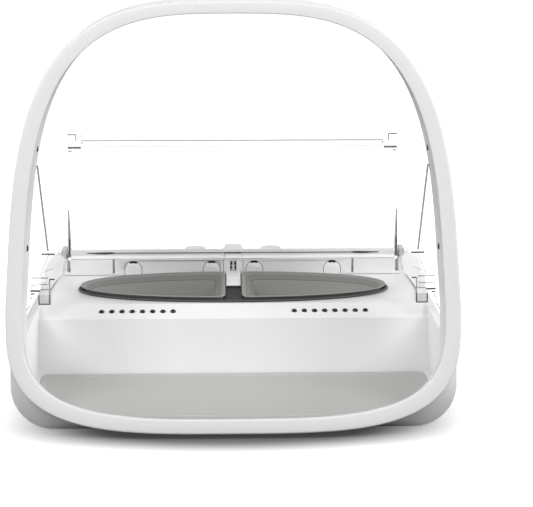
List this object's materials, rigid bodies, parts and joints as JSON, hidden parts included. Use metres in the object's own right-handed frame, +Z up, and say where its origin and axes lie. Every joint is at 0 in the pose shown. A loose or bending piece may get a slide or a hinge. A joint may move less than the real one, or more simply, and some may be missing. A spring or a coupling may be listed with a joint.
{
  "type": "microchip pet feeder",
  "caption": "Pet feeder with a leaning reader hoop, a feeding bay with a mat, half bowls on a weighing tray, and a clear lid driven by a small gear motor.",
  "frame": {"origin": "middle of the footprint, on the surface that the feeder stands on", "axes": "+Z up, +X to the right as seen from the front, +Y to the back; the hoop faces -Y"},
  "size_m": [0.232, 0.2447, 0.2176],
  "materials": {
    "white_plastic": "satin moulded ABS, slightly cool white",
    "warm_grey_plastic": "satin warm grey moulded plastic",
    "dark_grey_plastic": "matte dark grey moulded plastic",
    "mat_rubber": "fine matte warm grey",
    "clear_plastic": "clear polished polycarbonate",
    "smoked_plastic": "smoked translucent plastic",
    "black_plastic": "matte moulded plastic",
    "cell_sleeve": "plain shrink sleeve",
    "plated_steel": "bright zinc plate",
    "milled_aluminium": "milled",
    "cut_brass": "machined",
    "copper_band": "enamelled copper winding",
    "board_green": "solder resist over glass fibre",
    "foot_rubber": "moulded dark grey rubber"
  },
  "bodies": {
    "base": {"base_tub": "white_plastic", "deck_cover": "white_plastic", "rear_cover": "white_plastic", "hinge_housing": "white_plastic", "hoop_front": "white_plastic", "hoop_rear": "white_plastic", "gear_cover": "white_plastic", "tray_catch": "white_plastic", "hinge_block_left": "warm_grey_plastic", "hinge_block_right": "warm_grey_plastic", "bowl_tray": "dark_grey_plastic", "side_shield_left": "clear_plastic", "side_shield_right": "clear_plastic", "hinge_bar_left": "clear_plastic", "hinge_bar_right": "clear_plastic", "shield_bracket_left": "clear_plastic", "shield_bracket_right": "clear_plastic", "centre_tab": "clear_plastic", "light_guide_left": "smoked_plastic", "light_guide_right": "smoked_plastic", "sensor_low_left": "smoked_plastic", "sensor_low_right": "smoked_plastic", "sensor_high_left": "smoked_plastic", "sensor_high_right": "smoked_plastic", "drive_motor": "black_plastic", "battery_box_left": "black_plastic", "battery_box_right": "black_plastic", "battery_1": "cell_sleeve", "battery_2": "cell_sleeve", "battery_3": "cell_sleeve", "battery_4": "cell_sleeve", "motor_bracket": "plated_steel", "scale_plate_left": "plated_steel", "scale_plate_right": "plated_steel", "battery_contact_left": "plated_steel", "battery_contact_right": "plated_steel", "load_cell_left": "milled_aluminium", "load_cell_right": "milled_aluminium", "antenna_coil": "copper_band", "circuit_board": "board_green", "foot_front_left": "foot_rubber", "foot_front_right": "foot_rubber", "foot_rear_left": "foot_rubber", "foot_rear_right": "foot_rubber"},
    "lid": {"lid_panel": "clear_plastic", "lid_grip": "clear_plastic", "lid_clip_left": "smoked_plastic", "lid_clip_right": "smoked_plastic", "hinge_shaft": "plated_steel", "lid_gear": "cut_brass"},
    "drive": {"drive_pinion": "cut_brass"},
    "left_bowl": {"bowl_left": "warm_grey_plastic"},
    "right_bowl": {"bowl_right": "warm_grey_plastic"},
    "bay_mat": {"mat": "mat_rubber"},
    "push_button_1": {"button_1": "warm_grey_plastic"},
    "push_button_2": {"button_2": "warm_grey_plastic"},
    "push_button_3": {"button_3": "warm_grey_plastic"},
    "door_left": {"battery_door_left": "white_plastic"},
    "door_right": {"battery_door_right": "white_plastic"}
  },
  "joints": [
    {"name": "lid_hinge", "type": "hinge", "parent": "base", "child": "lid", "pos_m": [0, 0.0495, 0.058], "axis": [-1, 0, 0], "range_deg": [-102, 0]},
    {"name": "drive_spin", "type": "hinge", "parent": "base", "child": "drive", "pos_m": [0, 0.0495, 0.0505], "axis": [-1, 0, 0], "range_deg": [0, 153]},
    {"name": "bowl_left_lift", "type": "slide", "parent": "base", "child": "left_bowl", "axis": [0, 0, 1], "range_m": [0, 0.06]},
    {"name": "bowl_right_lift", "type": "slide", "parent": "base", "child": "right_bowl", "axis": [0, 0, 1], "range_m": [0, 0.06]},
    {"name": "mat_lift", "type": "slide", "parent": "base", "child": "bay_mat", "axis": [0, 0, 1], "range_m": [0, 0.02]},
    {"name": "button_1_press", "type": "slide", "parent": "base", "child": "push_button_1", "axis": [0, -0.2272, -0.9738], "range_m": [0, 0.0012], "stiffness_N_per_m": 300, "springref_m": -0.001},
    {"name": "button_2_press", "type": "slide", "parent": "base", "child": "push_button_2", "axis": [0, -0.2272, -0.9738], "range_m": [0, 0.0012], "stiffness_N_per_m": 300, "springref_m": -0.001},
    {"name": "button_3_press", "type": "slide", "parent": "base", "child": "push_button_3", "axis": [0, -0.2272, -0.9738], "range_m": [0, 0.0012], "stiffness_N_per_m": 300, "springref_m": -0.001},
    {"name": "battery_door_left_slide", "type": "slide", "parent": "base", "child": "door_left", "axis": [0, 1, 0], "range_m": [0, 0.05]},
    {"name": "battery_door_right_slide", "type": "slide", "parent": "base", "child": "door_right", "axis": [0, 1, 0], "range_m": [0, 0.05]}
  ],
  "couplings": [
    {"joint": "drive_spin", "follows": "lid_hinge", "ratio": -1.5}
  ]
}
